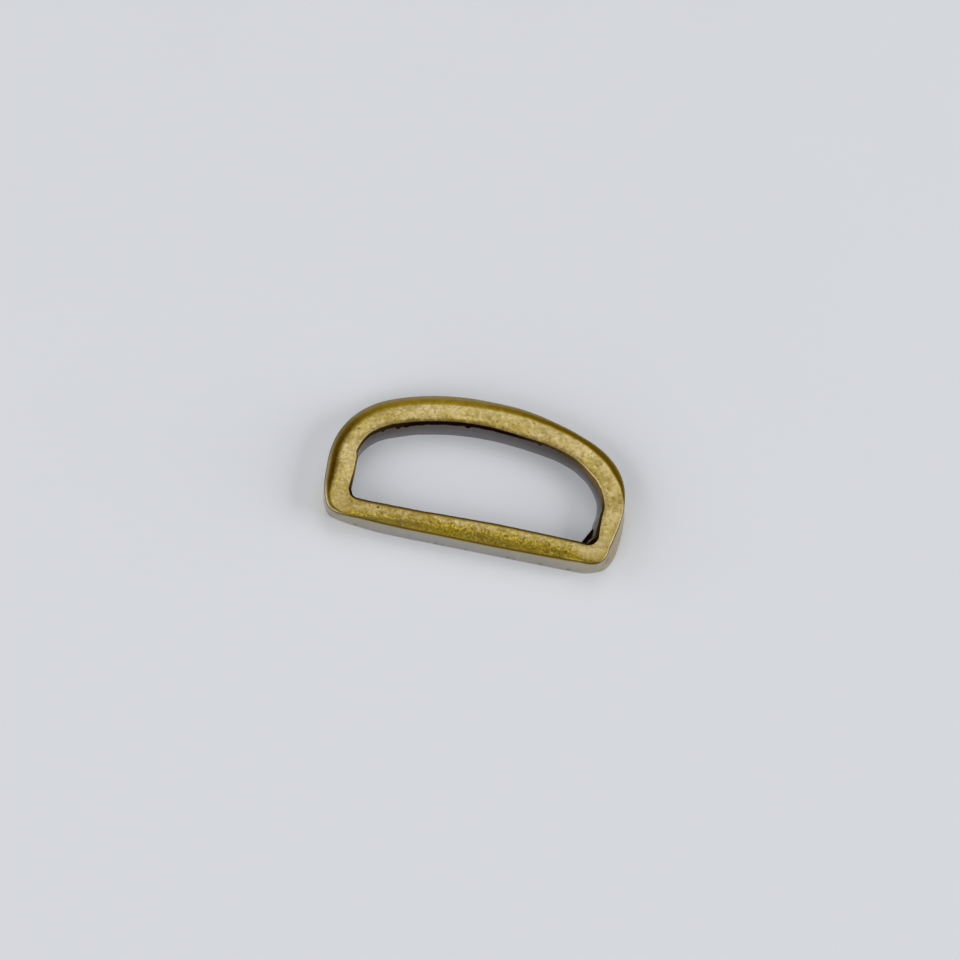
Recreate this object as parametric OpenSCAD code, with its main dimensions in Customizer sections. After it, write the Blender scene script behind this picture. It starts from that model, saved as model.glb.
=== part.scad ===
// D-shaped strap loop, cast in one piece: a straight bar for the strap, closed by a low arch.
// It lies flat on its back. Its face is flat, with a wide soft shoulder outside and a sharp edge inside.
// The origin is under the middle of the loop, on the surface that it rests on. +X runs along the bar,
// +Y from the bar to the arch, +Z up through the thickness. All sizes are in millimetres.

/* [Opening] */
// Width of the opening at the face: a strap 25 wide still clears the narrower back
opening_w = 25.4; // [22:0.2:30]
// Depth of the opening at the face, from the bar to the top of the arch
opening_d = 11; // [9:0.1:15]
// Radius of the two corners where the opening meets the bar
opening_corner_r = 1.2; // [0.8:0.1:1.8]
// Radius of the opening's two shoulders, between the sides and the arch
opening_shoulder_r = 5.8; // [4.5:0.1:7]

/* [Band] */
// Thickness of the loop, from its back to its face
thickness = 2.4; // [1.8:0.1:4]
// Width of the band along the two sides
side_w = 2.4; // [2:0.1:3.4]
// Width of the band over the top of the arch
arch_w = 2.8; // [2:0.1:3.6]
// Width of the bar
bar_w = 2; // [1.6:0.1:3]
// Radius of the two outer corners at the ends of the bar
outer_corner_r = 3.5; // [2:0.1:4]

/* [Edges] */
// Width of the shoulder that falls away around the outside of the face
shoulder_w = 0.85; // [0.4:0.05:1]
// Height that the shoulder loses before it ends in a crease
shoulder_drop = 0.3; // [0.15:0.05:0.6]
// Width that the outer wall gains between the crease and the back
outer_draft = 0.1; // [0.05:0.05:0.3]
// Width that the opening's wall gains between the face and the back
inner_draft = 0.2; // [0.05:0.05:0.3]

/* [Hidden] */
$fn = 96;
brass = [0.66, 0.56, 0.33];
// The shoulders meet the arch on a line that rises 12 for each 5 it runs, and so is 13 long
join_run = 5;
join_rise = 12;
join_length = 13;

// The outer contour, taken at the crease
outer_half_w = opening_w / 2 + side_w;
outer_top_y = opening_d + arch_w;
// The middle of the loop from front to back, measured from the bar's inner edge
middle_y = (outer_top_y - bar_w) / 2;
// A section reaches this far inward, and each arc keeps what it needs of it
section_reach = opening_w;
// The cutting solid passes both faces by this much
pass = 1;
// The filled middle of a solid stays this far inside its contour, clear of the shoulder
core_rim = shoulder_w + 0.5;
// The shoulder is an arc that leaves the flat face without a corner
shoulder_r = (pow(shoulder_w, 2) + pow(shoulder_drop, 2)) / (2 * shoulder_drop);

// Section of the band's outer side: x = 0 is the crease, and the metal is on its left
module band_section() {
    crease_z = thickness - shoulder_drop;
    polygon([[-section_reach, 0], [outer_draft, 0], [0, crease_z], [-section_reach, crease_z]]);
    intersection() {
        translate([-section_reach, 0]) square([section_reach, thickness]);
        union() {
            translate([-section_reach, 0]) square([section_reach - shoulder_w, thickness]);
            translate([-shoulder_w, thickness - shoulder_r]) circle(shoulder_r);
        }
    }
}

// Section of the opening's side: x = 0 is its edge at the face, and the opening is on its left
module opening_section() {
    slope = inner_draft / thickness;
    polygon([
        [-section_reach, -pass],
        [-inner_draft - slope * pass, -pass],
        [slope * pass, thickness + pass],
        [-section_reach, thickness + pass]
    ]);
}

// The section's outer strip, reach wide, with its edge at x = at
module strip(at, reach) {
    intersection() {
        translate([at, 0]) children();
        translate([at - reach, -2 * pass]) square([reach + 2 * pass, thickness + 4 * pass]);
    }
}

// The section turned all the way around an axis, with its edge at radius r
module disc(r, reach) {
    rotate_extrude() strip(r, reach) children();
}

// The section swept along +Y, with its outer side towards +X
module line_sweep(length, reach) {
    translate([0, length, 0]) rotate([90, 0, 0]) linear_extrude(length) strip(0, reach) children();
}

// What lies within an outline on the plan
module within(outline) {
    intersection() {
        children();
        translate([0, 0, -2 * pass]) linear_extrude(thickness + 4 * pass) polygon(outline);
    }
}

module both_sides() {
    children();
    mirror([1, 0, 0]) children();
}

// A solid D: the section swept around a contour of tangent arcs and lines, and the middle filled
// from low_z to high_z. The contour has a bar, two corners, two sides, two shoulders and an arch.
module d_solid(half_w, bar_y, top_y, corner_r, round_r, low_z, high_z) {
    corner_x = half_w - corner_r;
    corner_y = bar_y + corner_r;
    round_x = half_w - round_r;
    arch_r = round_r + round_x * join_length / join_run;
    arch_y = top_y - arch_r;
    round_y = arch_y + round_x * join_rise / join_run;
    // The filled middle covers each join but for the outer rim of the section
    core_x = half_w - corner_r / 2;
    core_r = round_r - core_rim;
    join_x = round_x + core_r * join_run / join_length;
    join_y = round_y + core_r * join_rise / join_length;
    // Outlines that take one shoulder and the arch out of their discs, cut along the join
    shoulder_cut = [[0, 0], [join_run, 0], [join_run, join_rise]] * round_r / 2;
    arch_cut = [[0, 0], [join_run, join_rise], [-join_run, join_rise]] * arch_r / 10;

    translate([0, arch_y, 0]) within(arch_cut) disc(arch_r, round_r) children();
    translate([-corner_x, bar_y, 0]) rotate([0, 0, -90]) line_sweep(2 * corner_x, corner_r) children();
    both_sides() {
        translate([round_x, round_y, 0]) within(shoulder_cut) disc(round_r, round_r) children();
        translate([half_w, corner_y, 0]) line_sweep(round_y - corner_y, corner_r) children();
        translate([corner_x, corner_y, 0]) rotate([0, 0, -90]) rotate_extrude(angle = 90)
            strip(corner_r, corner_r) children();
    }
    translate([0, 0, low_z]) linear_extrude(high_z - low_z) polygon([
        [-corner_x, bar_y + corner_r / 2],
        [corner_x, bar_y + corner_r / 2],
        [core_x, corner_y],
        [core_x, round_y],
        [join_x, join_y],
        [0, top_y - core_rim],
        [-join_x, join_y],
        [-core_x, round_y],
        [-core_x, corner_y]
    ]);
}

module strap_loop() {
    color(brass) translate([0, -middle_y, 0]) difference() {
        d_solid(outer_half_w, -bar_w, outer_top_y, outer_corner_r, opening_shoulder_r + side_w,
                0, thickness) band_section();
        d_solid(opening_w / 2, 0, opening_d, opening_corner_r, opening_shoulder_r,
                -pass, thickness + pass) opening_section();
    }
}

strap_loop();
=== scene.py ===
import math
import random

import bpy
import numpy as np
from mathutils import Matrix, Vector, noise


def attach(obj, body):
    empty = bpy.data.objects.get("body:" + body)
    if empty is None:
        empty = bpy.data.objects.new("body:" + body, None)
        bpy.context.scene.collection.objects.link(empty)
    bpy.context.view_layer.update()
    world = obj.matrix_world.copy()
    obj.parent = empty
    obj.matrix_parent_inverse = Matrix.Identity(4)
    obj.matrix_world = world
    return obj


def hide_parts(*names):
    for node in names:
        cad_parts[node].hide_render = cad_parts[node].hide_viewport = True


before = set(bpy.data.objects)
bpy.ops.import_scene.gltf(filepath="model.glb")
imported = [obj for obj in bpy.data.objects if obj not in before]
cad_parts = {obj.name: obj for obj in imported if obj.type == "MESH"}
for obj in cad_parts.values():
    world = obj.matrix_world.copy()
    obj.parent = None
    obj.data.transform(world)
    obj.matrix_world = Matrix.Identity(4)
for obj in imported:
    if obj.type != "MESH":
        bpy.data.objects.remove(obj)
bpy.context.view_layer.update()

# Sizes in millimetres, turned into metres when the mesh is made
MM = 0.001

# Sizes of the solid
THICKNESS = 2.4
OPENING_HALF_W = 12.7
OPENING_D = 11.0
OPENING_CORNER_R = 1.2
OPENING_SHOULDER_R = 5.8
SIDE_W = 2.4
ARCH_W = 2.8
BAR_W = 2.0
OUTER_CORNER_R = 3.5
SHOULDER_W = 0.85
SHOULDER_DROP = 0.3
OUTER_DRAFT = 0.1
INNER_DRAFT = 0.2
# The bar's inner edge lies this far in front of the middle of the loop
MIDDLE_Y = (OPENING_D + ARCH_W - BAR_W) / 2
# The shoulders meet the arch on a line that rises 12 for each 5 it runs, and so is 13 long
JOIN_RUN, JOIN_RISE, JOIN_LENGTH = 5, 12, 13

# Distance between two sections of the band, along its middle line, and their least number on one part
STATION_PITCH = 0.07
LEAST_STEPS = 4
# Numbers of columns of points across a section
FACE_COLUMNS = 24
SHOULDER_COLUMNS = 10
OUTER_WALL_COLUMNS = 10
INNER_WALL_COLUMNS = 14
# Places of the columns across the back, and of those around the opening's rim, as shares of the way
BACK_SHARES = (0, 0.33, 0.67, 1)
RIM_SHARES = (0.84, 0.67, 0.5, 0.33, 0.16)
# First and last column of each wall, as shares of the way down the outer one and up the inner one
OUTER_WALL_ENDS = (0.05, 0.97)
INNER_WALL_ENDS = (0.03, 1)
# The shoulder falls away with this power of its share
SHOULDER_POWER = 2.1
# The rounding of the crease starts this far in from it, and its middle lies this far in and down
CREASE_ROUND = 0.04
CREASE_MIDDLE_IN = 0.008
CREASE_MIDDLE_DOWN = 0.035
# Width of the rounding on the back's edges, and how far in and up from the edge its middle lies
EDGE_ROUND = 0.05
EDGE_MIDDLE = 0.015
# Least width and drop that the shoulder keeps where the face is sanded down to its edge
LEAST_SHOULDER_W = 0.1
LEAST_DROP = 0.05

# The parts of the D from the bar's middle to the top of the arch, negative where they are on the left
BAR, CORNER, SIDE, SHOULDER, ARCH = 1, 2, 3, 4, 5
# Angle of the line on which a shoulder meets the arch
JOIN = math.atan2(JOIN_RISE, JOIN_RUN)


def station_places():
    """Stations all around, evenly spaced on the band's middle line. Gives their places as (part, share of
    the part), their distances along the line, and its length. The distance starts at the bar's middle and
    is positive on the right half."""
    half_w = OPENING_HALF_W + SIDE_W / 2
    corner_r = (OPENING_CORNER_R + OUTER_CORNER_R) / 2
    shoulder_r = OPENING_SHOULDER_R + SIDE_W / 2
    shoulder_x = half_w - shoulder_r
    arch_r = shoulder_r + shoulder_x * JOIN_LENGTH / JOIN_RUN
    shoulder_y = OPENING_D + ARCH_W / 2 - arch_r + shoulder_x * JOIN_RISE / JOIN_RUN
    lengths = {
        BAR: half_w - corner_r,
        CORNER: corner_r * math.pi / 2,
        SIDE: shoulder_y - corner_r + BAR_W / 2,
        SHOULDER: shoulder_r * JOIN,
        ARCH: arch_r * (math.pi / 2 - JOIN),
    }
    right = []
    start = 0.0
    for part, length in lengths.items():
        steps = max(LEAST_STEPS, round(length / STATION_PITCH))
        for step in range(steps):
            share = step / steps
            right.append((part, share, start + share * length))
        start += length
    left = [(-part, share, -distance) for part, share, distance in reversed(right[1:])]
    ring = right + [(ARCH, 1.0, start)] + left
    places = [(part, share) for part, share, distance in ring]
    return places, np.array([distance for part, share, distance in ring]), 2 * start


# The stations, how far along the band they lie, and the length of the band all around
places, along, around = station_places()


def rail(half_w, bar_y, top_y, corner_r, shoulder_r):
    """Points of a D and its outward normals, at the places of the stations."""
    shoulder_x = half_w - shoulder_r
    arch_r = shoulder_r + shoulder_x * JOIN_LENGTH / JOIN_RUN
    arch_y = top_y - arch_r
    shoulder_y = arch_y + shoulder_x * JOIN_RISE / JOIN_RUN
    corner_x = half_w - corner_r
    corner_y = bar_y + corner_r
    points = []
    normals = []
    for part, share in places:
        side = -1 if part < 0 else 1
        if abs(part) == BAR:
            point = (corner_x * share, bar_y)
            normal = (0, -1)
        elif abs(part) == CORNER:
            turn = math.pi / 2 * share
            normal = (math.sin(turn), -math.cos(turn))
            point = (corner_x + corner_r * normal[0], corner_y + corner_r * normal[1])
        elif abs(part) == SIDE:
            point = (half_w, corner_y + (shoulder_y - corner_y) * share)
            normal = (1, 0)
        elif abs(part) == SHOULDER:
            turn = JOIN * share
            normal = (math.cos(turn), math.sin(turn))
            point = (shoulder_x + shoulder_r * normal[0], shoulder_y + shoulder_r * normal[1])
        else:
            turn = JOIN + (math.pi / 2 - JOIN) * share
            normal = (math.cos(turn), math.sin(turn))
            point = (arch_r * normal[0], arch_y + arch_r * normal[1])
        points.append((side * point[0], point[1] - MIDDLE_Y))
        normals.append((side * normal[0], normal[1]))
    return np.array(points), np.array(normals)


def opening_rail(offset):
    """The D of the opening's edge, moved outward."""
    return rail(OPENING_HALF_W + offset, -offset, OPENING_D + offset,
                OPENING_CORNER_R + offset, OPENING_SHOULDER_R + offset)


def outer_rail(offset):
    """The D of the crease, moved outward."""
    return rail(OPENING_HALF_W + SIDE_W + offset, -BAR_W - offset, OPENING_D + ARCH_W + offset,
                OUTER_CORNER_R + offset, OPENING_SHOULDER_R + SIDE_W + offset)


# How far the cast and sanded part departs from the clean D, outward, at distances along the band.
# inner and inner_foot are the opening's edge at the face and at the back, flat is the outer limit of
# the sanded face, crease is the outer edge, and foot is that edge at the back.
DEPARTURES = [
    # along, inner, inner_foot, flat, crease, foot
    (-35.8, -0.10, -0.17, -0.13, 0.08, 0.00),
    (-33.5, -0.06, -0.16, -0.15, 0.14, 0.00),
    (-30.5, -0.04, -0.17, -0.10, 0.17, 0.05),
    (-28.5, -0.04, -0.12, -0.08, 0.17, 0.05),
    (-26.0, 0.02, -0.18, -0.13, 0.12, 0.00),
    (-24.0, 0.07, -0.06, -0.15, 0.08, 0.00),
    (-22.5, 0.15, 0.02, -0.06, 0.06, 0.00),
    (-20.8, 0.08, 0.02, -0.05, 0.04, -0.05),
    (-19.5, 0.00, 0.00, 0.00, 0.03, -0.10),
    (-19.1, -0.24, 0.00, 0.00, 0.02, -0.12),
    (-17.5, -0.27, 0.00, 0.02, 0.06, -0.14),
    (-15.5, -0.11, -0.06, 0.04, 0.04, -0.22),
    (-14.7, -0.09, -0.10, 0.14, -0.04, -0.24),
    (-14.0, -0.07, -0.12, 0.46, 0.13, -0.13),
    (-13.2, 0.02, -0.10, 0.92, 0.54, 0.04),
    (-12.5, 0.08, 0.00, 0.84, 0.20, -0.34),
    (-11.8, 0.07, 0.00, 0.64, -0.01, -0.38),
    (-11.0, 0.09, 0.00, 0.66, -0.02, -0.26),
    (-9.5, 0.12, 0.00, 0.46, 0.02, -0.10),
    (-8.0, 0.11, 0.00, 0.24, 0.03, -0.03),
    (-6.5, 0.11, 0.00, 0.05, 0.03, 0.00),
    (-5.0, 0.10, 0.00, -0.05, 0.03, 0.00),
    (-3.0, 0.01, 0.00, -0.15, 0.02, 0.00),
    (0.0, -0.05, 0.00, -0.20, 0.06, 0.01),
    (3.0, -0.13, 0.00, -0.20, 0.07, 0.01),
    (5.5, -0.07, 0.00, -0.20, 0.03, 0.01),
    (7.5, -0.05, 0.00, -0.20, 0.00, 0.01),
    (10.0, 0.01, 0.00, -0.10, -0.05, 0.01),
    (11.5, 0.06, 0.00, 0.50, -0.05, 0.00),
    (12.6, 0.17, 0.00, 0.98, 0.21, -0.05),
    (13.2, 0.18, 0.00, 0.59, -0.06, 0.12),
    (14.2, 0.18, 0.00, 0.10, -0.79, -0.16),
    (15.2, 0.15, -0.26, 0.14, -0.74, -0.20),
    (16.0, 0.12, -0.44, 0.34, -0.53, -0.06),
    (17.5, 0.13, -0.39, 0.47, -0.30, 0.00),
    (18.7, 0.25, -0.18, 0.50, -0.23, 0.01),
    (20.5, 0.18, 0.06, 0.42, 0.00, 0.00),
    (22.0, 0.08, 0.09, 0.17, 0.13, 0.02),
    (23.5, -0.06, 0.10, 0.10, 0.11, 0.01),
    (25.0, -0.04, 0.13, 0.04, 0.03, 0.00),
    (26.5, 0.10, 0.22, 0.06, 0.00, 0.00),
    (28.0, 0.10, 0.20, 0.07, 0.05, 0.00),
    (29.5, 0.03, 0.08, 0.06, 0.05, 0.00),
    (31.0, -0.08, -0.04, 0.02, 0.11, 0.00),
    (32.5, -0.16, -0.13, 0.02, 0.14, 0.00),
    (34.0, -0.16, -0.13, -0.03, 0.13, 0.00),
]
# How the finish around the opening changes along the band. rim is the radius of the rounding between the
# face and the opening's wall, and lacquer is how far the dark lacquer reaches down from the face. The
# others start at 0: rim_brown is how far the lacquer shows brown instead of black, stain is how strong
# the dim strip on the face beside it is, the next is how strong the painted highlight along the face's
# inner edge is, pale is how far the face's inner half is rubbed pale, wall_brown is how brown the
# opening's wall is at its top, and dim is how much dimmer the whole face is. Above 1, a mark spreads wider.
INSIDE_FINISH = [
    # along, rim, lacquer, rim_brown, stain, highlight_in, pale, wall_brown, dim
    (-34.0, 0.25, 0.49, 0.00, 1.0, 0.0, 0.00, 0.1, 0.00),
    (-28.0, 0.26, 0.53, 0.00, 1.0, 0.0, 0.00, 0.3, 0.00),
    (-25.0, 0.25, 0.50, 0.10, 0.8, 0.0, 0.00, 0.6, 0.00),
    (-22.0, 0.20, 0.42, 0.15, 0.5, 0.5, 0.15, 0.6, 0.00),
    (-20.0, 0.18, 0.40, 0.50, 0.1, 0.6, 0.30, 0.4, 0.00),
    (-17.5, 0.18, 0.34, 1.00, 0.0, 0.0, 0.40, 0.4, 0.00),
    (-16.0, 0.26, 0.56, 0.30, 0.0, 0.0, 0.20, 0.3, 0.00),
    (-13.8, 0.34, 0.80, 0.00, 0.2, 0.0, 0.00, 0.0, 0.35),
    (-12.0, 0.30, 0.50, 0.20, 0.1, 0.0, 0.00, 0.0, 0.55),
    (-9.0, 0.30, 0.50, 0.50, 0.2, 0.0, 0.00, 0.0, 0.15),
    (9.0, 0.30, 0.50, 0.50, 0.2, 0.0, 0.00, 0.0, 0.00),
    (12.0, 0.32, 0.60, 0.10, 0.2, 0.0, 0.45, 0.0, 0.35),
    (12.9, 0.32, 1.15, 0.00, 0.2, 0.0, 0.60, 0.6, 0.45),
    (14.3, 0.32, 1.05, 0.00, 0.2, 0.0, 0.50, 1.4, 0.10),
    (15.4, 0.28, 0.60, 0.10, 0.2, 0.0, 0.20, 1.8, 0.00),
    (16.5, 0.26, 0.48, 0.10, 0.3, 0.0, 0.00, 1.8, 0.00),
    (18.5, 0.24, 0.40, 0.20, 0.4, 0.0, 0.00, 1.6, 0.00),
    (20.5, 0.24, 0.46, 0.75, 0.5, 0.4, 0.00, 1.2, 0.00),
    (23.0, 0.24, 0.52, 0.85, 0.5, 1.2, 0.00, 1.0, 0.00),
    (26.0, 0.23, 0.36, 0.45, 0.8, 0.3, 0.00, 0.7, 0.00),
    (29.0, 0.23, 0.25, 0.20, 0.85, 0.0, 0.00, 0.5, 0.00),
    (33.0, 0.24, 0.38, 0.00, 0.85, 0.0, 0.00, 0.2, 0.00),
]
# How the finish outside changes along the band, all from 0 up: fade is the dim strip along the face's
# outer edge, olive is the grainy patina on the face's outer half, deep is how deep the shoulder's olive
# is, dark is how black the line along the face is, grey is how grey the shoulder's outermost part is,
# the next is how strong the painted highlight along the face's outer edge is, gilt is how far brass
# shines through under the crease, and tan is how brown the outer wall is. Above 1, a mark spreads wider.
OUTSIDE_FINISH = [
    # along, fade, olive, deep, dark, grey, highlight_out, gilt, tan
    (-34.0, 0.1, 0.00, 0.5, 0.00, 0.9, 0.0, 1.0, 0.3),
    (-27.0, 0.15, 0.00, 0.5, 0.05, 0.9, 0.0, 1.0, 0.3),
    (-23.5, 0.5, 0.00, 0.7, 0.25, 0.9, 0.0, 0.6, 0.3),
    (-21.0, 0.8, 0.00, 0.9, 0.65, 0.7, 0.0, 0.2, 0.1),
    (-19.0, 0.9, 0.00, 1.0, 0.70, 0.9, 0.0, 0.0, 0.0),
    (-17.0, 1.0, 0.00, 1.1, 0.72, 0.9, 0.0, 0.0, 0.0),
    (-15.0, 0.8, 0.00, 1.0, 0.75, 1.0, 0.1, 0.1, 0.6),
    (-14.2, 0.4, 0.00, 0.6, 0.45, 1.3, 0.1, 0.1, 0.7),
    (-13.5, 0.1, 0.00, 0.2, 0.35, 1.7, 0.1, 0.2, 0.7),
    (-12.4, 0.4, 0.20, 0.2, 0.35, 1.5, 0.0, 0.4, 0.6),
    (-11.1, 0.2, 1.25, 0.6, 0.20, 0.0, 0.0, 1.0, 0.4),
    (-9.5, 0.0, 1.30, 0.6, 0.20, 0.0, 0.0, 1.0, 0.2),
    (-5.0, 0.0, 1.15, 0.5, 0.20, 0.0, 0.0, 1.0, 0.0),
    (0.0, 0.0, 0.90, 0.5, 0.20, 0.0, 0.0, 1.4, 0.0),
    (10.5, 0.0, 0.95, 0.5, 0.20, 0.0, 0.0, 1.2, 0.3),
    (12.3, 0.9, 0.60, 0.5, 0.20, 0.0, 0.0, 1.2, 0.5),
    (14.0, 0.4, 0.00, 0.6, 0.00, 0.2, 0.6, 1.0, 1.5),
    (16.0, 0.5, 0.00, 0.6, 0.00, 0.2, 0.6, 1.0, 1.7),
    (18.5, 0.4, 0.00, 0.9, 0.10, 0.2, 0.4, 1.0, 1.5),
    (20.5, 0.2, 0.00, 1.4, 0.20, 0.1, 0.0, 1.0, 0.3),
    (24.0, 0.15, 0.00, 1.4, 0.15, 0.1, 0.0, 1.0, 0.3),
    (28.0, 0.15, 0.00, 1.3, 0.05, 0.2, 0.0, 1.0, 0.3),
    (32.0, 0.15, 0.00, 0.9, 0.00, 0.5, 0.0, 1.0, 0.3),
]
DEPARTURE_COLUMNS = ("inner", "inner_foot", "flat", "crease", "foot")
INSIDE_COLUMNS = ("rim", "lacquer", "rim_brown", "stain", "highlight_in", "pale", "wall_brown", "dim")
OUTSIDE_COLUMNS = ("fade", "olive", "deep", "dark", "grey", "highlight_out", "gilt", "tan")
# Length along the band over which neighbouring rows run into each other
BLEND_LENGTH = 0.7
# Finer wander that each rail has besides: how far, its length along the band, and a seed
WANDER = {
    "inner": [(0.018, 0.9, 3.1), (0.012, 0.35, 8.4)],
    "inner_foot": [(0.02, 1.3, 5.7)],
    "flat": [(0.03, 1.1, 6.6), (0.015, 0.4, 2.2)],
    "crease": [(0.01, 1.6, 12.3)],
    "foot": [(0.012, 0.8, 1.9)],
}
# The wander is read on a D in the band's middle: its distance from the opening's edge, and its two radii
WANDER_OFFSET, WANDER_CORNER_R, WANDER_SHOULDER_R = 1, 2, 7
# The foot is held back by this much, so that its wander stays within the solid's box
FOOT_MARGIN = 0.015
# A web fills the foot of the opening's lower right corner, straight between these distances along the
# band. Its foot is black between the next two, and the black fades in and out over the last two.
WEB_FROM, WEB_TO = 10.8, 17.0
BLACK_FROM, BLACK_TO = 11.5, 18.0
BLACK_IN, BLACK_OUT = 0.8, 2.4
# Small lumps of lacquer that hang from the opening's edge: distance along the band, reach, half width
NUBS = [
    (-26.4, 0.16, 0.20),
    (-27.3, 0.08, 0.22),
    (-33.9, 0.10, 0.18),
    (-24.4, 0.07, 0.20),
    (30.2, 0.05, 0.16),
]
# Down the opening's wall a lump is full after this distance
NUB_FULL = 0.1
# It ends at this distance, and shrinks over this length before it
NUB_END, NUB_SHRINK = 0.95, 0.5
# The larger pits in the face: distance along the band, distance from the opening's edge, radius
PITS = [
    (-9.35, 0.36, 0.15),
    (-21.9, 1.15, 0.12),
    (-34.6, 0.75, 0.10),
    (7.3, 0.62, 0.10),
    (12.2, 1.75, 0.13),
]
# Dark spots on the outer wall: distance along the band, distance below the crease, radius
WALL_SPOTS = [
    (-13.3, 2.00, 0.30),
    (-12.6, 0.45, 0.20),
    (-11.2, 1.90, 0.16),
    (-3.0, 1.85, 0.12),
    (4.3, 1.80, 0.16),
    (4.9, 1.75, 0.12),
    (7.6, 1.85, 0.13),
    (10.4, 1.90, 0.15),
    (13.57, 1.00, 0.36),
]
# Depth of a pit as a share of its radius
PIT_DEPTH = 0.3
# Fine pits strewn over the face: number, distances from the opening's edge, radii and seed
FINE_PITS = 260
FINE_PIT_ACROSS = (0.1, 1.8)
FINE_PIT_R = (0.05, 0.10)
FINE_PIT_SEED = 7
# A pit keeps this distance from the face's outer edge, and sinks only what is this close to the face
PIT_MARGIN = 0.1
PIT_REACH = 0.02


def soften(values, length):
    """Runs a value around the band together over a length along it."""
    reach = max(1, round(length / STATION_PITCH))
    weights = np.hanning(2 * reach + 1)
    weights /= weights.sum()
    wrapped = np.concatenate([values[-reach:], values, values[:reach]])
    return np.convolve(wrapped, weights, "valid")


def read_table(table, columns):
    """The named columns of a table, each at every station."""
    at = [row[0] for row in table]
    found = {}
    for k, name in enumerate(columns):
        values = [row[1 + k] for row in table]
        found[name] = soften(np.interp(along, at, values, period=around), BLEND_LENGTH)
    return found


finish = read_table(INSIDE_FINISH, INSIDE_COLUMNS)
finish.update(read_table(OUTSIDE_FINISH, OUTSIDE_COLUMNS))


def waver(length, seed):
    """A value between about -1 and 1 that wanders around the band, with features of the given length."""
    middle = rail(OPENING_HALF_W + WANDER_OFFSET, -WANDER_OFFSET, OPENING_D + WANDER_OFFSET,
                  WANDER_CORNER_R, WANDER_SHOULDER_R)[0]
    return np.array([noise.noise(Vector((x / length, y / length, seed))) for x, y in middle])


def rail_shifts():
    """How far each rail departs from the clean D, outward, at every station."""
    shifts = read_table(DEPARTURES, DEPARTURE_COLUMNS)
    for name, wander in WANDER.items():
        shifts[name] = shifts[name] + sum(far * waver(length, seed) for far, length, seed in wander)
    shifts["foot"] = shifts["foot"] - FOOT_MARGIN
    shifts["flat"] = np.minimum(shifts["flat"], SHOULDER_W + shifts["crease"] - LEAST_SHOULDER_W)
    return shifts


def around_distance(a, b):
    """Distance between two places along the closed band."""
    gap = np.abs(a - b) % around
    return np.minimum(gap, around - gap)


def fill_corner(foot):
    """The opening's foot with its lower right corner cut straight across by the web."""
    first = int(np.argmin(np.abs(along - WEB_FROM)))
    last = int(np.argmin(np.abs(along - WEB_TO)))
    share = np.linspace(0, 1, last - first + 1)[:, None]
    straight = foot[first] + (foot[last] - foot[first]) * share
    filled = foot.copy()
    filled[first:last + 1] = straight
    return filled


def make_rails():
    """The five rails of the band, as points on the plan at every station, with the outward normals of the
    opening's edge and of the crease, and the shoulder's width and drop."""
    clean = {
        "inner": opening_rail(0),
        "inner_foot": opening_rail(-INNER_DRAFT),
        "flat": outer_rail(-SHOULDER_W),
        "crease": outer_rail(0),
        "foot": outer_rail(OUTER_DRAFT),
    }
    shifts = rail_shifts()
    rails = {}
    for name, (points, outward) in clean.items():
        rails[name] = points + outward * shifts[name][:, None]
    rails["inner_foot"] = fill_corner(rails["inner_foot"])
    rails["inner_out"] = clean["inner"][1]
    rails["crease_out"] = clean["crease"][1]
    rails["shoulder_w"] = SHOULDER_W + shifts["crease"] - shifts["flat"]
    rails["drop"] = np.maximum(SHOULDER_DROP * np.minimum(rails["shoulder_w"] / SHOULDER_W, 1), LEAST_DROP)
    return rails


# Distance that stands for "far from here" in what the columns note
FAR = 2.0
# What the columns note for the material
MEASURES = ("opening", "past_flat", "past_crease", "shoulder", "lump")


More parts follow.
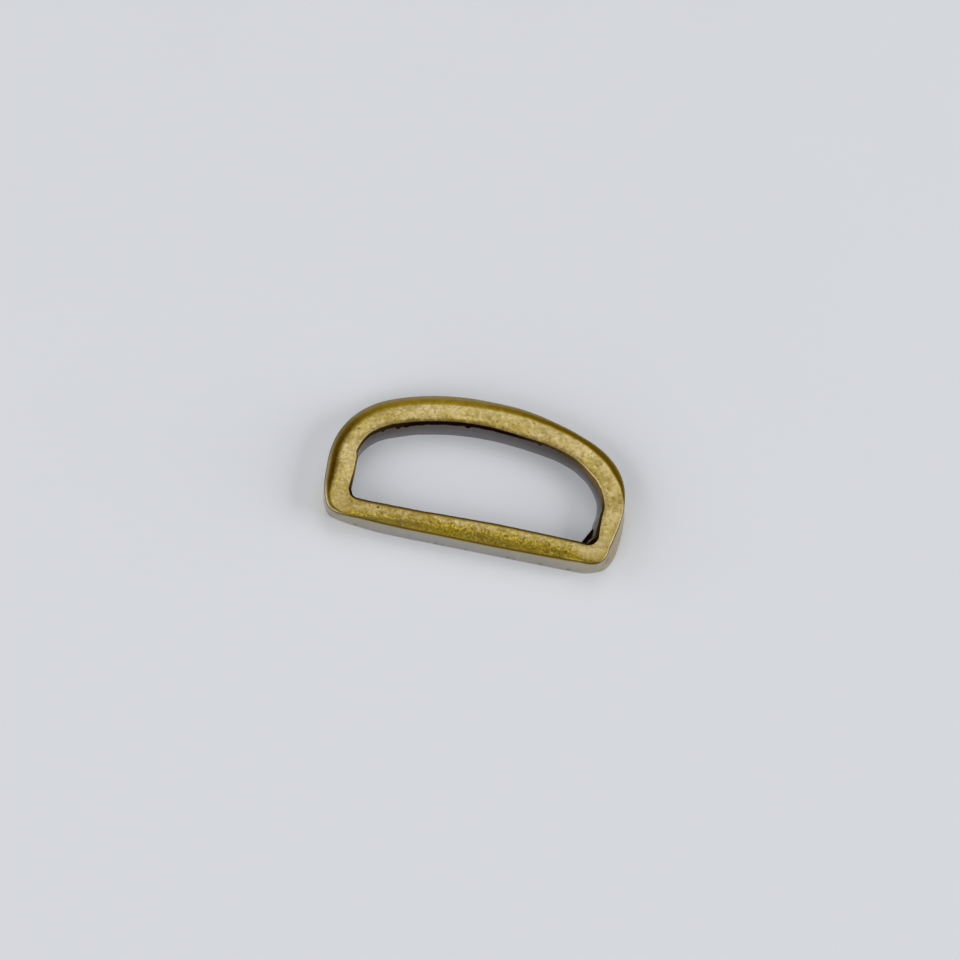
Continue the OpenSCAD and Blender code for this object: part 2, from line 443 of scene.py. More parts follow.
def band_ring(rails):
    """Columns of points that run once around the section, from the opening's edge over the face. Each has
    its place on the plan and its height z. opening is the distance past the face's inner edge, down the
    opening's wall, past_flat the distance past the face's outer edge, past_crease the distance past the
    crease, shoulder the share of the shoulder's width, and low how close to the opening's foot it is."""
    inner, flat = rails["inner"], rails["flat"]
    crease, foot, inner_foot = rails["crease"], rails["foot"], rails["inner_foot"]
    inner_out, crease_out = rails["inner_out"], rails["crease_out"]
    shoulder_w, drop = rails["shoulder_w"], rails["drop"]
    crease_z = THICKNESS - drop
    rim_r = finish["rim"]
    ones = np.ones(len(inner))
    columns = []

    def put(plan, z, opening=-FAR, past_flat=-FAR, past_crease=-FAR, shoulder=0.0, low=0.0):
        columns.append({
            "plan": plan, "z": z * ones, "opening": opening * ones, "past_flat": past_flat * ones,
            "past_crease": past_crease * ones, "shoulder": shoulder * ones, "low": low * ones,
        })

    face_w = np.linalg.norm(flat - inner, axis=1)
    for share in np.linspace(0, 1, FACE_COLUMNS, endpoint=False):
        plan = inner + (flat - inner) * share
        put(plan, THICKNESS, -share * face_w, -face_w * (1 - share), -shoulder_w)
    for share in np.linspace(0, 1, SHOULDER_COLUMNS):
        plan = flat + (crease - crease_out * CREASE_ROUND - flat) * share
        z = THICKNESS - drop * share ** SHOULDER_POWER
        put(plan, z, -FAR, shoulder_w * share, -shoulder_w * (1 - share), share)
    put(crease - crease_out * CREASE_MIDDLE_IN, crease_z - CREASE_MIDDLE_DOWN, -FAR, shoulder_w, 0, 1)
    for share in np.linspace(*OUTER_WALL_ENDS, OUTER_WALL_COLUMNS):
        plan = crease + (foot - crease) * share
        put(plan, crease_z * (1 - share), -FAR, shoulder_w + crease_z * share, crease_z * share, 1)
    wall_end = shoulder_w + crease_z
    put(foot - crease_out * EDGE_MIDDLE, EDGE_MIDDLE, -FAR, wall_end, crease_z, 1)
    back_start = foot - crease_out * EDGE_ROUND
    back_end = inner_foot + inner_out * EDGE_ROUND
    for share in BACK_SHARES:
        put(back_start + (back_end - back_start) * share, 0, THICKNESS, wall_end, crease_z, 1, 1)
    put(inner_foot + inner_out * EDGE_MIDDLE, EDGE_MIDDLE, THICKNESS, low=1)
    wall_top = inner - inner_out * rim_r[:, None]
    wall_h = THICKNESS - rim_r
    rim_length = rim_r * math.pi / 2
    for share in np.linspace(*INNER_WALL_ENDS, INNER_WALL_COLUMNS):
        plan = inner_foot + (wall_top - inner_foot) * share
        put(plan, wall_h * share, rim_length + wall_h * (1 - share), low=1 - share)
    for share in RIM_SHARES:
        turn = math.pi / 2 * share
        plan = inner - inner_out * (rim_r * math.sin(turn))[:, None]
        put(plan, THICKNESS - rim_r * (1 - math.cos(turn)), rim_length * share)
    return columns


def hang_nubs(columns, inner_out):
    """Pushes the lumps of lacquer out from the top of the opening's wall, and notes how far each reaches,
    as a share of the largest."""
    largest = max(reach for place, reach, half_w in NUBS)
    for column in columns:
        below = column["opening"]
        near = np.clip(below / NUB_FULL, 0, 1) * np.clip((NUB_END - below) / NUB_SHRINK, 0, 1)
        column["lump"] = np.zeros(len(along))
        for place, reach, half_w in NUBS:
            share = near * np.exp(-(around_distance(along, place) / half_w) ** 2)
            column["plan"] = column["plan"] - inner_out * (reach * share)[:, None]
            column["lump"] = np.maximum(column["lump"], share * reach / largest)


def sink_pits(points, face_w):
    """Sinks the pits into the face, and gives how deep each point lies, as a share of the deepest pit."""
    largest = max(radius for where, across, radius in PITS)
    rng = random.Random(FINE_PIT_SEED)
    pits = list(PITS)
    for k in range(FINE_PITS):
        where = rng.uniform(-around / 2, around / 2)
        pits.append((where, rng.uniform(*FINE_PIT_ACROSS), rng.uniform(*FINE_PIT_R)))
    depth = np.zeros(points.shape[:2])
    on_face = points[..., 2] > THICKNESS - PIT_REACH
    for where, across, radius in pits:
        station = int(np.argmin(around_distance(along, where)))
        inner, next_in = points[station, 0, :2], points[station, 1, :2]
        outward = (next_in - inner) / np.linalg.norm(next_in - inner)
        center = inner + outward * min(across, face_w[station] - PIT_MARGIN)
        far = np.linalg.norm(points[..., :2] - center, axis=2)
        depth = np.maximum(depth, np.exp(-(far / radius) ** 2) * on_face * radius / largest)
    points[..., 2] -= depth * largest * PIT_DEPTH
    return depth


def surface_values(columns, pit):
    """What the material reads at each point of the band, by name."""
    values = {
        name: np.stack([column[name] for column in columns], 1)
        for name in MEASURES + ("low",)
    }
    values["pit"] = pit
    values["spot"] = np.zeros(pit.shape)
    for place, below, radius in WALL_SPOTS:
        aside = around_distance(along, place)[:, None]
        far = np.hypot(aside, values["past_crease"] - below)
        values["spot"] = np.maximum(values["spot"], np.exp(-(far / radius) ** 2))
    black = np.clip((along - BLACK_FROM) / BLACK_IN, 0, 1) * np.clip((BLACK_TO - along) / BLACK_OUT, 0, 1)
    values["web"] = values.pop("low") * black[:, None]
    for name in INSIDE_COLUMNS[1:] + OUTSIDE_COLUMNS:
        values[name] = np.repeat(finish[name][:, None], len(columns), 1)
    return values


def make_band(material):
    """The loop as one closed swept mesh, with the values that its material reads."""
    rails = make_rails()
    columns = band_ring(rails)
    hang_nubs(columns, rails["inner_out"])
    stations, ring = len(along), len(columns)
    points = np.zeros((stations, ring, 3))
    for k, column in enumerate(columns):
        points[:, k, :2] = column["plan"]
        points[:, k, 2] = column["z"]
    pit = sink_pits(points, np.linalg.norm(rails["flat"] - rails["inner"], axis=1))
    index = np.arange(stations * ring).reshape(stations, ring)
    ahead = np.roll(index, -1, 0)
    quads = np.stack([index, ahead, np.roll(ahead, -1, 1), np.roll(index, -1, 1)], -1).reshape(-1, 4)
    mesh = bpy.data.meshes.new("strap_loop_cast")
    mesh.from_pydata((points.reshape(-1, 3) * MM).tolist(), [], quads.tolist())
    for name, value in surface_values(columns, pit).items():
        attribute = mesh.attributes.new(name, "FLOAT", "POINT")
        attribute.data.foreach_set("value", value.astype(np.float32).ravel())
    mesh.polygons.foreach_set("use_smooth", np.ones(len(quads), bool))
    mesh.materials.append(material)
    mesh.update()
    mesh.validate()
    band = bpy.data.objects.new("strap_loop_cast", mesh)
    bpy.context.scene.collection.objects.link(band)
    return band


# Shader pieces

class Tree:
    """A material's nodes, made with one call each."""

    def __init__(self, name):
        self.material = bpy.data.materials.new(name)
        self.material.use_nodes = True
        self.tree = self.material.node_tree
        self.tree.nodes.clear()

    def node(self, kind, **settings):
        made = self.tree.nodes.new(kind)
        for key, value in settings.items():
            setattr(made, key, value)
        return made

    def feed(self, socket, value):
        if isinstance(value, bpy.types.NodeSocket):
            self.tree.links.new(value, socket)
        else:
            socket.default_value = value

    def attribute(self, name):
        return self.node("ShaderNodeAttribute", attribute_name=name).outputs["Fac"]

    def math(self, operation, a, b, clamp=False):
        made = self.node("ShaderNodeMath", operation=operation, use_clamp=clamp)
        self.feed(made.inputs[0], a)
        self.feed(made.inputs[1], b)
        return made.outputs[0]

    def plus(self, a, b):
        return self.math("ADD", a, b)

    def minus(self, a, b, clamp=False):
        return self.math("SUBTRACT", a, b, clamp)

    def times(self, a, b):
        return self.math("MULTIPLY", a, b)

    def larger(self, a, b):
        return self.math("MAXIMUM", a, b)

    def ramp(self, value, span, from_value=0.0, to_value=1.0):
        """Runs softly between two values while the input crosses a span."""
        made = self.node("ShaderNodeMapRange", interpolation_type="SMOOTHSTEP")
        self.feed(made.inputs["Value"], value)
        self.feed(made.inputs["From Min"], span[0])
        self.feed(made.inputs["From Max"], span[1])
        self.feed(made.inputs["To Min"], from_value)
        self.feed(made.inputs["To Max"], to_value)
        return made.outputs["Result"]

    def fall(self, value, span):
        """Runs softly from 1 to 0 while the input crosses a span."""
        return self.ramp(value, span, 1.0, 0.0)

    def mix(self, share, a, b):
        """Two colours mixed, through the three sockets of the node that are for colours."""
        made = self.node("ShaderNodeMix", data_type="RGBA")
        self.feed(made.inputs[0], share)
        self.feed(made.inputs[6], a)
        self.feed(made.inputs[7], b)
        return made.outputs[2]

    def stretch(self, coordinates, x, y, z):
        made = self.node("ShaderNodeVectorMath", operation="MULTIPLY")
        self.feed(made.inputs[0], coordinates)
        self.feed(made.inputs[1], (x, y, z))
        return made.outputs[0]

    def noise(self, coordinates, per_mm, detail=3.0, roughness=0.55):
        made = self.node("ShaderNodeTexNoise")
        self.feed(made.inputs["Vector"], coordinates)
        self.feed(made.inputs["Scale"], per_mm / MM)
        self.feed(made.inputs["Detail"], detail)
        self.feed(made.inputs["Roughness"], roughness)
        return made.outputs["Fac"]

    def stray(self, coordinates, per_mm, detail=3.0, roughness=0.55):
        """Noise about 0, which makes a limit ragged when it is added to a distance."""
        return self.minus(self.noise(coordinates, per_mm, detail, roughness), 0.5)

    def relief(self, coordinates, per_mm, height, strength, under=None):
        """A noisy surface, laid over the one under it."""
        made = self.node("ShaderNodeBump")
        self.feed(made.inputs["Height"], self.noise(coordinates, per_mm, 2))
        made.inputs["Distance"].default_value = height * MM
        made.inputs["Strength"].default_value = strength
        if under is not None:
            self.feed(made.inputs["Normal"], under)
        return made.outputs["Normal"]


def rgb(r, g, b):
    """A colour given as it looks on the screen, from 0 to 255, as the shader wants it."""
    def linear(v):
        v = v / 255
        return v / 12.92 if v <= 0.04045 else ((v + 0.055) / 1.055) ** 2.4
    return (linear(r), linear(g), linear(b), 1.0)


GOLD = rgb(207, 185, 126)
GOLD_GREEN = rgb(193, 172, 94)
GOLD_PALE = rgb(232, 214, 166)
GOLD_RUBBED = rgb(216, 197, 144)
GOLD_SHADE = rgb(160, 137, 70)
GOLD_DUSK = rgb(142, 118, 52)
SPECK = rgb(112, 90, 36)
SPECK_FINE = rgb(124, 100, 40)
PIT_DARK = rgb(70, 52, 14)
STAIN = rgb(112, 90, 28)
OLIVE = rgb(150, 125, 32)
OLIVE_PALE = rgb(168, 142, 48)
OLIVE_DEEP = rgb(112, 86, 6)
RED_BLACK = rgb(44, 14, 4)
BROWN_BLACK = rgb(24, 9, 3)
RIM_BROWN = rgb(118, 96, 50)
BAR_OLIVE = rgb(148, 124, 16)
BAR_OLIVE_PALE = rgb(168, 143, 28)
BAR_EDGE = rgb(224, 188, 50)
BAR_PATCH = rgb(118, 95, 10)
BAR_GRAIN_DARK = rgb(76, 56, 2)
BAR_GRAIN_PALE = rgb(228, 202, 92)
BAR_DULL = rgb(168, 148, 86)
SHOULDER_GREY = rgb(194, 175, 132)
SHOULDER_DUSK = rgb(148, 138, 126)
WALL_GREY = rgb(189, 182, 174)
WALL_SHADE = rgb(180, 177, 172)
WALL_DARK = rgb(111, 104, 102)
WALL_MIDDLE = rgb(148, 145, 146)
WALL_STREAK = rgb(90, 80, 72)
WALL_BROWN = rgb(80, 62, 34)
WALL_TAN = rgb(186, 172, 134)
WALL_GILT = rgb(196, 178, 116)
WALL_SPOT = rgb(92, 86, 78)
CREASE_LINE = rgb(102, 82, 24)
PAPER = rgb(228, 230, 235)
PAPER_PALE = rgb(230, 232, 237)

# Layers of grain, each laid over the ones before it: features per millimetre, detail and roughness of its
# noise, values of the noise at which it starts and is full, how strong it is then, and its colour
FACE_GRAIN = [
    # per_mm, detail, roughness, start, full, strength, colour
    (0.3, 3, 0.55, 0.38, 0.60, 1.0, GOLD_GREEN),
    (0.6, 3, 0.55, 0.45, 0.68, 0.7, GOLD_SHADE),
    (1.4, 2, 0.55, 0.50, 0.70, 0.7, GOLD_SHADE),
    (2.6, 3, 0.55, 0.46, 0.72, 0.6, GOLD_PALE),
    (3.6, 3, 0.55, 0.52, 0.72, 0.6, GOLD_DUSK),
    (4.6, 1, 0.55, 0.64, 0.76, 0.9, SPECK),
]
BAR_GRAIN = [
    # per_mm, detail, roughness, start, full, strength, colour
    (0.5, 2, 0.55, 0.40, 0.62, 0.45, BAR_PATCH),
    (3.0, 4, 0.65, 0.45, 0.70, 0.9, BAR_GRAIN_DARK),
    (3.8, 4, 0.65, 0.48, 0.70, 1.0, BAR_GRAIN_PALE),
]
# Where marks fade in along the face's inner and outer edge, in millimetres past that edge: the rubbed pale
# halves, the crowds of specks, the dim strips, the painted edge highlights, and the dark lines along the
# bar
RUBBED_IN = (-1.7, -0.3)
RUBBED_OUT = (-1.1, -0.4)
SPECKS_IN = (-0.6, -0.1)
SPECKS_OUT = (-0.5, 0.0)
STAINED_IN = (-0.62, 0.0)
HIGHLIGHT_IN = (-0.17, -0.07)
HIGHLIGHT_IN_END = (-0.10, 0.0)
HIGHLIGHT_OUT = (-0.14, 0.0)
BAR_LINE_IN = (-0.20, 0.0)
BAR_LINE_OUT = (-0.18, -0.04)
# The outer dim strip and the bar's patina start at the first place, further in by the second where they
# are strong, and are full at the third
FADE_START, FADE_WIDER, FADE_FULL = -0.15, 0.35, 0.02
PATINA_START, PATINA_WIDER, PATINA_FULL = -0.3, 0.9, 0.10
# The face's outer half is rubbed pale only where its dim strip is weaker than this
CLEAR_FADE = 0.3
# Fine specks: where their noise shows them, how strong they are, and how much a crowd adds to the noise
SPECKS_SHOW, SPECKS_STRENGTH, SPECKS_CROWD = (0.60, 0.70), 0.7, 0.07
# Depth at which a pit turns dark, and how dark it gets
PIT_SHOWS, PIT_STRENGTH = (0.15, 0.8), 0.75
# Strength of the dark lines along the bar, inner and outer
BAR_LINE_IN_STRENGTH, BAR_LINE_OUT_STRENGTH = 0.85, 0.5
# The bar's patina is brighter over this share of its shoulder, and duller where it is this thick
BAR_EDGE_SPAN, BAR_EDGE_STRENGTH = (0.0, 0.6), 0.5
BAR_DULL_SPAN, BAR_DULL_STRENGTH = (0.95, 1.25), 0.4
# On the shoulder, as shares of its width: where the deep olive comes and goes, and where the dark line goes
DEEP_COMES, DEEP_GOES = (0.0, 0.2), (0.45, 0.9)
LINE_GOES = (0.2, 0.6)
# The shoulder's grey starts at the first share, further out by the second beside a dark line, and is full
# at the third
GREY_START, GREY_LATER, GREY_FULL = 0.35, 0.22, 0.95
# Down the opening's wall: where it turns paler, and where its brown goes
PALER_SPAN, BROWN_GOES = (0.5, 2.3), (0.9, 3.1)
# Down the outer wall: where the line under the crease goes, where the brass goes, where the tan weakens and
# to what share, and where the dark dots of painted contact shadow come near the floor
CREASE_LINE_GOES, GILT_GOES = (0.05, 0.40), (0.15, 0.8)
TAN_SPAN, TAN_LEAST = (0.6, 2.2), 0.6
SHADOW_DOTS_COME, SHADOW_DOTS_STRENGTH, SPOT_STRENGTH = (1.5, 2.0), 0.6, 0.75
# Where the web's black shows
BLACK_SHOWS = (0.24, 0.44)
# Where one finish gives way to the next, in millimetres past the edge between them
SHOULDER_STARTS = (-0.10, 0.02)
WALL_STARTS = (-0.06, 0.0)
OPENING_WALL_STARTS = (-0.02, 0.02)
RIM_STARTS = (-0.04, 0.04)
RIM_ENDS = (-0.08, 0.08)
POLISH_STARTS = (-0.05, 0.05)
# Widths of the shoulder between which its patina comes to show
SHOULDER_SHOWS = (0.12, 0.3)
# How far ragged limits stray: of the strips in and out on the face, the bar's patina, the shoulder's
# patina, the lacquer, and the black on the web
STRAY_IN, STRAY_OUT, STRAY_BAR = 0.8, 0.4, 2.6
STRAY_SHOULDER, STRAY_LACQUER, STRAY_WEB = 0.22, 0.36, 0.6
# Roughness of the lacquered walls, lowest and highest of the rest, and of the floor
WALL_ROUGHNESS = 0.24
FACE_ROUGHNESS = (0.38, 0.50)
PAPER_ROUGHNESS = 0.7
# Fine and soft relief of the surface: features per millimetre, height, strength
FINE_RELIEF = (6.0, 0.010, 0.35)
SOFT_RELIEF = (1.1, 0.05, 0.2)


def grainy(t, place, colour, layers):
    """A colour with layers of grain over it."""
    for per_mm, detail, roughness, start, full, strength, grain in layers:
        grain_noise = t.noise(place, per_mm, detail, roughness)
        colour = t.mix(t.ramp(grain_noise, (start, full), 0.0, strength), colour, grain)
    return colour


def face_finish(t, place, on, loose):
    """Colour of the face: sanded brass with soft patches and specks, marks along its two edges, and painted
    highlights on them.
    """
    colour = t.mix(on["dim"], grainy(t, place, GOLD, FACE_GRAIN), GOLD_SHADE)
    colour = t.mix(t.times(t.ramp(on["opening"], RUBBED_IN), on["pale"]), colour, GOLD_RUBBED)
    clear = t.minus(CLEAR_FADE, on["fade"], True)
    colour = t.mix(t.times(t.ramp(on["past_flat"], RUBBED_OUT), clear), colour, GOLD_PALE)
    # Fine dark specks, thickest along the two edges
    specks_in = t.times(t.ramp(on["opening"], SPECKS_IN), on["stain"])
    specks_out = t.times(t.ramp(on["past_flat"], SPECKS_OUT), on["fade"])
    crowd = t.times(t.larger(specks_in, specks_out), SPECKS_CROWD)
    specks = t.ramp(t.plus(t.noise(place, 5.2, 2, 0.6), crowd), SPECKS_SHOW, 0.0, SPECKS_STRENGTH)
    colour = t.mix(specks, colour, SPECK_FINE)
    # Dim strips along both edges, with ragged limits
    inward = t.plus(on["opening"], t.times(loose, STRAY_IN))
    colour = t.mix(t.times(t.ramp(inward, STAINED_IN), on["stain"]), colour, STAIN)
    outward = t.plus(on["past_flat"], t.times(loose, STRAY_OUT))
    fade_start = t.minus(FADE_START, t.times(on["fade"], FADE_WIDER))
    colour = t.mix(t.times(t.ramp(outward, (fade_start, FADE_FULL)), on["fade"]), colour, STAIN)
    # Painted highlights, paler gold where the face's two edges catch the light
    highlight_in = t.times(t.ramp(on["opening"], HIGHLIGHT_IN), t.fall(on["opening"], HIGHLIGHT_IN_END))
    highlight_in = t.times(highlight_in, on["highlight_in"])
    highlight_out = t.times(t.ramp(on["past_flat"], HIGHLIGHT_OUT), on["highlight_out"])
    return t.mix(t.larger(highlight_in, highlight_out), colour, GOLD_PALE)


def bar_patina(t, place, shoulder, olive):
    """Colour of the grainy patina on the bar: brighter on its shoulder, and duller where it is thick."""
    colour = t.mix(t.ramp(t.noise(place, 1.2, 2), (0.38, 0.62)), BAR_OLIVE, BAR_OLIVE_PALE)
    colour = t.mix(t.ramp(shoulder, BAR_EDGE_SPAN, 0.0, BAR_EDGE_STRENGTH), colour, BAR_EDGE)
    colour = grainy(t, place, colour, BAR_GRAIN)
    return t.mix(t.ramp(olive, BAR_DULL_SPAN, 0.0, BAR_DULL_STRENGTH), colour, BAR_DULL)


def bar_finish(t, place, on, loose, colour):
    """The face with grainy patina on the bar's outer half, which thins out towards the opening."""
    blotch = t.plus(on["past_flat"], t.times(loose, STRAY_BAR))
    patina_start = t.minus(PATINA_START, t.times(on["olive"], PATINA_WIDER))
    on_bar = t.times(t.ramp(blotch, (patina_start, PATINA_FULL)), on["olive"])
    colour = t.mix(on_bar, colour, bar_patina(t, place, on["shoulder"], on["olive"]))
    inner_line = t.ramp(on["opening"], BAR_LINE_IN, 0.0, BAR_LINE_IN_STRENGTH)
    outer_line = t.ramp(on["past_crease"], BAR_LINE_OUT, 0.0, BAR_LINE_OUT_STRENGTH)
    return t.mix(t.times(t.larger(inner_line, outer_line), on["olive"]), colour, STAIN)


def shoulder_patina(t, place, on):
    """Colour of the shoulder's patina: a dark line along the sanded face, olive, then greyer outward."""
    shoulder, dark = on["shoulder"], on["dark"]
    colour = t.mix(t.ramp(t.noise(place, 1.3, 2), (0.35, 0.65)), OLIVE, OLIVE_PALE)
    middle = t.times(t.ramp(shoulder, DEEP_COMES), t.fall(shoulder, DEEP_GOES))
    colour = t.mix(t.times(middle, on["deep"]), colour, OLIVE_DEEP)
    grey_start = t.plus(GREY_START, t.times(dark, GREY_LATER))
    outermost = t.times(t.ramp(shoulder, (grey_start, GREY_FULL)), on["grey"])
    colour = t.mix(outermost, colour, t.mix(dark, SHOULDER_GREY, SHOULDER_DUSK))
    patches = t.ramp(t.noise(place, 0.9, 3), (0.35, 0.6), 0.75, 1.0)
    line = t.times(t.fall(shoulder, LINE_GOES), t.times(dark, patches))
    return t.mix(line, colour, RED_BLACK)


def shoulder_finish(t, place, on, colour):
    """The face with smooth patina on its shoulder, but for the bar, where the grainy kind goes on."""
    edge = t.plus(on["past_flat"], t.times(t.stray(place, 2.6), STRAY_SHOULDER))
    on_shoulder = t.times(t.ramp(edge, SHOULDER_STARTS), t.minus(1.0, on["olive"], True))
    width = t.minus(on["past_flat"], on["past_crease"])
    on_shoulder = t.times(on_shoulder, t.ramp(width, SHOULDER_SHOWS))
    return t.mix(on_shoulder, colour, shoulder_patina(t, place, on))


def opening_wall(t, place, below, brown):
    """Colour of the opening's wall under its rim: grey, paler towards the foot, with long faint streaks."""
    streaks = t.noise(t.stretch(place, 0.4, 0.4, 3.0), 1.1, 2)
    shade = t.mix(t.ramp(below, PALER_SPAN), WALL_DARK, WALL_MIDDLE)
    shade = t.mix(t.ramp(streaks, (0.45, 0.65), 0.0, 0.2), shade, WALL_STREAK)
    high = t.fall(t.plus(below, streaks), BROWN_GOES)
    colour = t.mix(t.times(brown, high), shade, WALL_BROWN)
    scratches = t.noise(t.stretch(place, 0.3, 0.3, 5.0), 1.1, 2)
    return t.mix(t.times(brown, t.ramp(scratches, (0.54, 0.64), 0.0, 0.35)), colour, WALL_MIDDLE)


def outer_wall(t, place, on):
    """Colour of the outer wall: a thin dark line under the crease, brass shining through, then even grey
    with dark dots of painted contact shadow near the floor, and larger spots."""
    below = on["past_crease"]
    tint = t.mix(t.ramp(t.noise(place, 0.8), (0.35, 0.65)), WALL_GREY, WALL_SHADE)
    shine = t.times(on["gilt"], t.fall(below, GILT_GOES))
    colour = t.mix(shine, tint, WALL_GILT)
    browned = t.times(on["tan"], t.ramp(below, TAN_SPAN, 1.0, TAN_LEAST))
    colour = t.mix(browned, colour, WALL_TAN)
    # Dark dots of painted contact shadow, low on the wall where it meets the floor
    dots = t.times(t.ramp(t.noise(place, 2.4, 1), (0.64, 0.74)), t.ramp(below, SHADOW_DOTS_COME))
    colour = t.mix(t.times(dots, SHADOW_DOTS_STRENGTH), colour, WALL_DARK)
    colour = t.mix(t.times(on["spot"], SPOT_STRENGTH), colour, WALL_SPOT)
    return t.mix(t.ramp(below, CREASE_LINE_GOES), CREASE_LINE, colour)


def lacquer_shares(t, place, on):
    """Where the dark lacquer lies, with ragged limits: on the rim around the opening, and on the web."""
    hang = t.times(t.stray(place, 1.8), STRAY_LACQUER)
    past_limit = t.minus(t.plus(on["opening"], hang), t.plus(on["lacquer"], on["lump"]))
    rim = t.times(t.ramp(on["opening"], RIM_STARTS), t.fall(past_limit, RIM_ENDS))
    loose_foot = t.times(t.stray(place, 0.8, 2), STRAY_WEB)
    black_foot = t.ramp(t.plus(t.plus(on["web"], hang), loose_foot), BLACK_SHOWS)
    return rim, black_foot


def antique_brass():
    """The loop's finish."""
    t = Tree("antique_brass")
    place = t.node("ShaderNodeTexCoord").outputs["Object"]
    names = MEASURES + ("pit", "spot", "web") + INSIDE_COLUMNS[1:] + OUTSIDE_COLUMNS
    on = {name: t.attribute(name) for name in names}
    loose = t.stray(place, 1.8, 4, 0.65)
    colour = face_finish(t, place, on, loose)
    colour = bar_finish(t, place, on, loose, colour)
    colour = shoulder_finish(t, place, on, colour)
    colour = t.mix(t.ramp(on["pit"], PIT_SHOWS, 0.0, PIT_STRENGTH), colour, PIT_DARK)
    colour = t.mix(t.ramp(on["past_crease"], WALL_STARTS), colour, outer_wall(t, place, on))
    inside = opening_wall(t, place, on["opening"], on["wall_brown"])
    colour = t.mix(t.ramp(on["opening"], OPENING_WALL_STARTS), colour, inside)
    rim, black_foot = lacquer_shares(t, place, on)
    lacquer = t.larger(rim, black_foot)
    brown = t.minus(on["rim_brown"], black_foot, True)
    colour = t.mix(lacquer, colour, t.mix(brown, BROWN_BLACK, RIM_BROWN))
    on_walls = t.larger(t.ramp(on["past_crease"], POLISH_STARTS), t.ramp(on["opening"], POLISH_STARTS))
    grain_roughness = t.ramp(t.noise(place, 3.0, 2), (0.3, 0.7), *FACE_ROUGHNESS)
    roughness = t.mix(on_walls, grain_roughness, (WALL_ROUGHNESS, WALL_ROUGHNESS, WALL_ROUGHNESS, 1))
    surface = t.relief(place, *SOFT_RELIEF, t.relief(place, *FINE_RELIEF))
    shader = t.node("ShaderNodeBsdfPrincipled")
    shader.inputs["Specular IOR Level"].default_value = 0.0
    t.feed(shader.inputs["Metallic"], t.minus(1.0, lacquer))
    t.feed(shader.inputs["Base Color"], colour)
    t.feed(shader.inputs["Roughness"], roughness)
    t.feed(shader.inputs["Normal"], surface)
    t.feed(t.node("ShaderNodeOutputMaterial").inputs["Surface"], shader.outputs[0])
    return t.material


def pale_paper():
    """The floor: plain, pale and matt."""
    t = Tree("pale_floor")
    place = t.node("ShaderNodeTexCoord").outputs["Object"]
    shader = t.node("ShaderNodeBsdfPrincipled")
    shader.inputs["Roughness"].default_value = PAPER_ROUGHNESS
    t.feed(shader.inputs["Base Color"], t.mix(t.noise(place, 0.05, 2), PAPER, PAPER_PALE))
    t.feed(t.node("ShaderNodeOutputMaterial").inputs["Surface"], shader.outputs[0])
    return t.material


# Half the width of the floor, in metres
FLOOR_HALF = 0.6


def make_floor():
    """A wide pale floor under the loop."""
    mesh = bpy.data.meshes.new("floor")
    h = FLOOR_HALF
    mesh.from_pydata([(-h, -h, 0), (h, -h, 0), (h, h, 0), (-h, h, 0)], [], [(0, 1, 2, 3)])
    mesh.materials.append(pale_paper())
    floor = bpy.data.objects.new("floor", mesh)
    bpy.context.scene.collection.objects.link(floor)
    return floor


# Square soft lights all aimed at the loop: where they stand, in degrees from +X and above the floor, and
# their power in watts
LIGHTS = [
    # name, azimuth, elevation, power
    ("right_window", 0, 18, 6.0),
    ("left_window", 180, 18, 3.0),
    ("front_left_window", 240, 24, 3.9),
    ("back_ceiling", 90, 55, 1.7),
]
# Distance and width of the lights, in metres
LIGHT_DISTANCE = 0.9
LIGHT_SIZE = 0.7
LIGHT_COLOUR = (1.0, 1.0, 1.0)
ROOM_COLOUR = (0.97, 0.985, 1.0, 1)
ROOM_STRENGTH = 0.25


def make_lights():
    """The soft lights around the loop."""
    for name, azimuth, elevation, power in LIGHTS:
        a, e = math.radians(azimuth), math.radians(elevation)
        place = Vector((math.cos(e) * math.cos(a), math.cos(e) * math.sin(a), math.sin(e))) * LIGHT_DISTANCE
        data = bpy.data.lights.new(name, "AREA")
        data.shape = "SQUARE"
        data.size = LIGHT_SIZE
        data.energy = power
        data.color = LIGHT_COLOUR
        light = bpy.data.objects.new(name, data)
        light.location = place
        light.rotation_euler = (-place).to_track_quat("-Z", "Y").to_euler()
        bpy.context.scene.collection.objects.link(light)


def soft_room():
    """Even pale light from all around."""
    world = bpy.data.worlds.new("soft_room")
    bpy.context.scene.world = world
    world.use_nodes = True
    world.node_tree.nodes["Background"].inputs["Color"].default_value = ROOM_COLOUR
    world.node_tree.nodes["Background"].inputs["Strength"].default_value = ROOM_STRENGTH


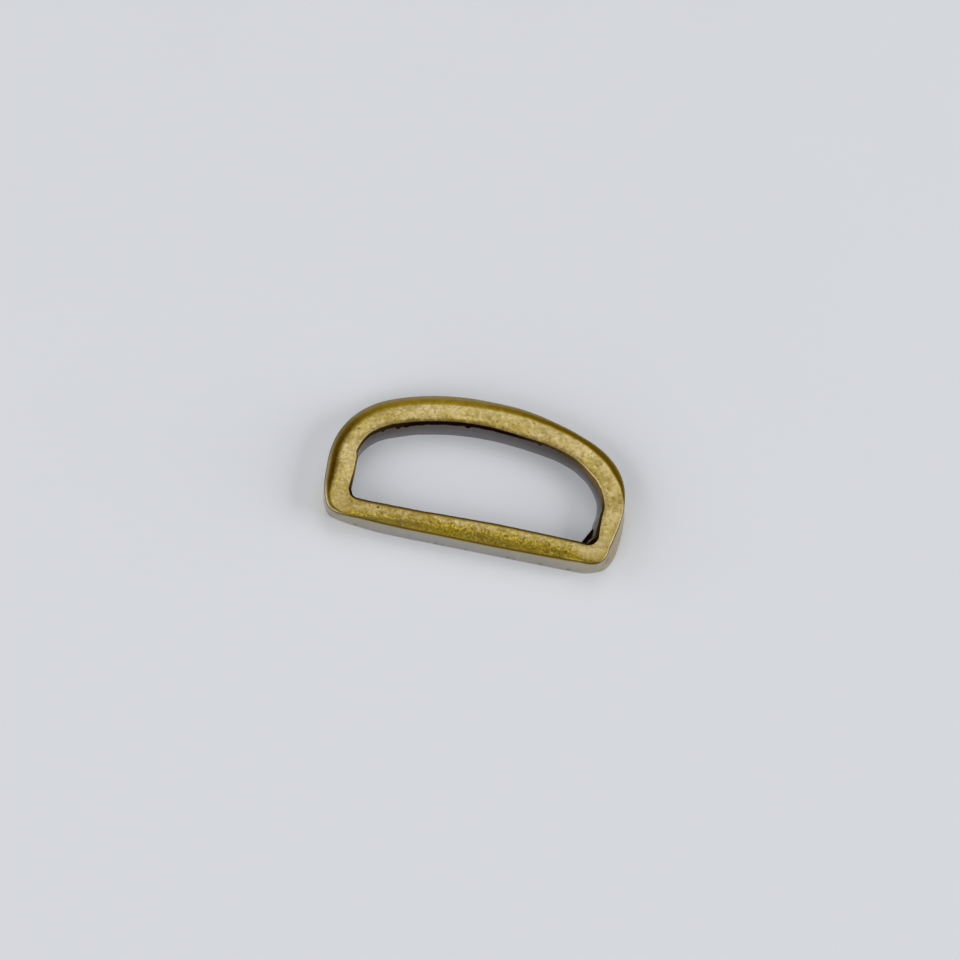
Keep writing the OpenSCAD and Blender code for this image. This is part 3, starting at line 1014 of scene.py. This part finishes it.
# The camera's place was found from the curves of the loop in the picture. Angles are in degrees, and
# distances in metres.
CAMERA_AZIMUTH = -4.089
CAMERA_ELEVATION = 62.0
CAMERA_ROLL = 14.854
CAMERA_DISTANCE = 0.9
CAMERA_NEAR = 0.01
CAMERA_FAR = 10
PIXELS_PER_MM = 9.985
# Pixel of the picture that shows the middle of the opening, and the picture's width
MIDDLE_PIXEL = (476.8, 484.3)
PICTURE_W = 960
# Width of the camera's sensor, in millimetres
SENSOR_W = 36.0
# Middle of the opening, at the floor, measured from the middle of the loop
OPENING_MIDDLE_Y = OPENING_D / 2 - MIDDLE_Y


def make_camera():
    """The camera, aimed so that the loop stands where it does in the picture."""
    az, el, roll = (math.radians(a) for a in (CAMERA_AZIMUTH, CAMERA_ELEVATION, CAMERA_ROLL))
    back = Vector((math.sin(az) * math.cos(el), -math.cos(az) * math.cos(el), math.sin(el)))
    level = Vector((math.cos(az), math.sin(az), 0))
    upright = back.cross(level)
    right = level * math.cos(roll) + upright * math.sin(roll)
    up = -level * math.sin(roll) + upright * math.cos(roll)
    aside = (PICTURE_W / 2 - MIDDLE_PIXEL[0]) / PIXELS_PER_MM * MM
    above = (MIDDLE_PIXEL[1] - PICTURE_W / 2) / PIXELS_PER_MM * MM
    target = Vector((0, OPENING_MIDDLE_Y * MM, 0)) + right * aside + up * above
    data = bpy.data.cameras.new("camera")
    data.sensor_width = SENSOR_W
    data.lens = SENSOR_W * CAMERA_DISTANCE / (PICTURE_W / PIXELS_PER_MM * MM)
    data.clip_start = CAMERA_NEAR
    data.clip_end = CAMERA_FAR
    camera = bpy.data.objects.new("camera", data)
    turn = Matrix((right, up, back)).transposed().to_4x4()
    camera.matrix_world = Matrix.Translation(target + back * CAMERA_DISTANCE) @ turn
    bpy.context.scene.collection.objects.link(camera)
    bpy.context.scene.camera = camera


band = make_band(antique_brass())
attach(band, "root")
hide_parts("strap_loop")
make_floor()
soft_room()
make_lights()
make_camera()
bpy.context.scene.view_settings.view_transform = "Standard"
